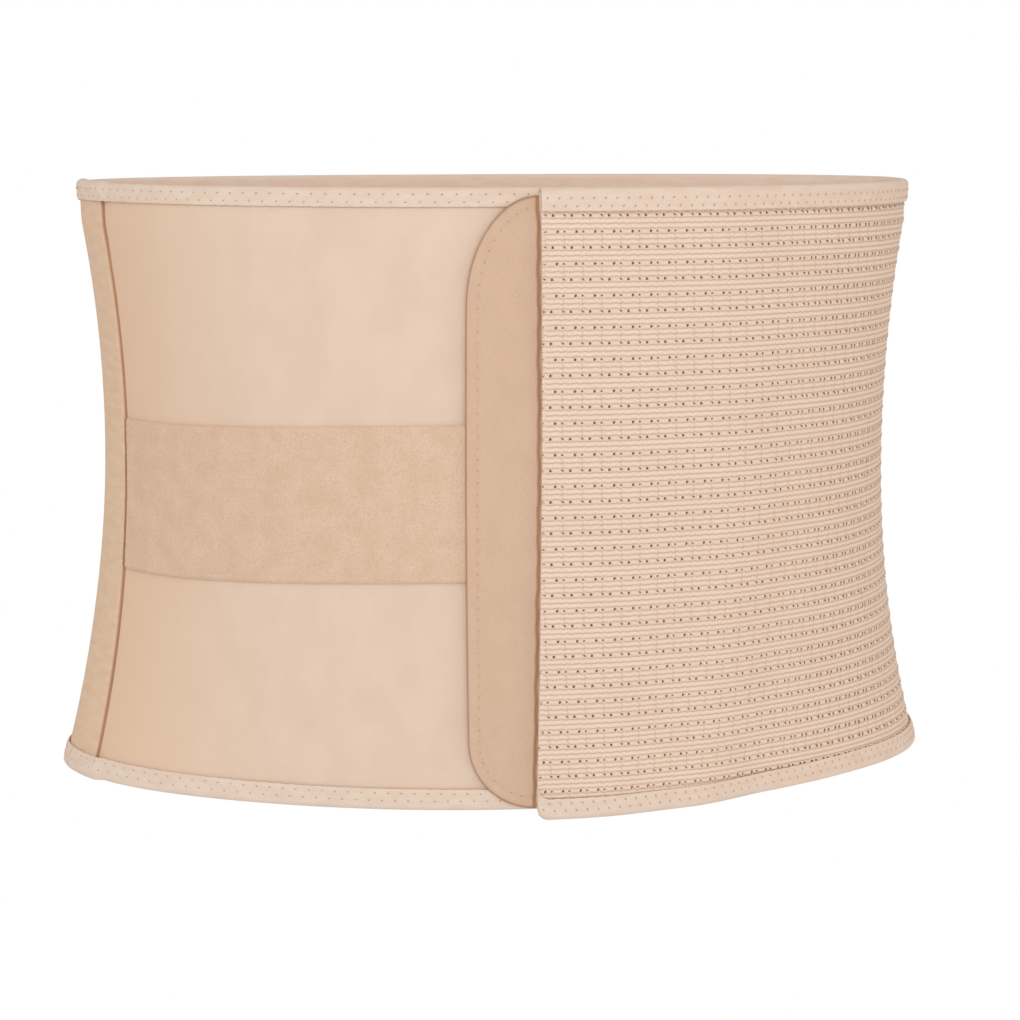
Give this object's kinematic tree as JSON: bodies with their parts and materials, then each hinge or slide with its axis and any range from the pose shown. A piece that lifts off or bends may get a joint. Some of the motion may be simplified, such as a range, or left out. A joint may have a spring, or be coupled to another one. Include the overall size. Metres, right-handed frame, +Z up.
{
  "type": "abdominal binder",
  "caption": "Waist binder of perforated rib elastic with a smooth front panel, a loop band and a rounded hook tab, closed as worn.",
  "frame": {"origin": "centre of the waist hollow, on its widest line and about half way up", "axes": "+X across the waist to the viewer's right, the wearer faces -Y, +Z up along the torso"},
  "size_m": [0.3848, 0.2581, 0.2555],
  "materials": {
    "rib_elastic": "matte perforated rib knit",
    "panel_cloth": "smooth brushed knit",
    "strip_tape": "plain woven tape",
    "loop_pile": "matte loop pile",
    "tab_suede": "suede-like pile",
    "edge_tape": "soft folded tape with zigzag stitching"
  },
  "bodies": {
    "root": {"elastic_panel": "rib_elastic", "front_panel": "panel_cloth", "side_strip": "strip_tape", "loop_band": "loop_pile", "hook_tab": "tab_suede", "front_top_binding": "edge_tape", "front_bottom_binding": "edge_tape", "elastic_top_binding": "edge_tape", "elastic_bottom_binding": "edge_tape"}
  },
  "joints": []
}
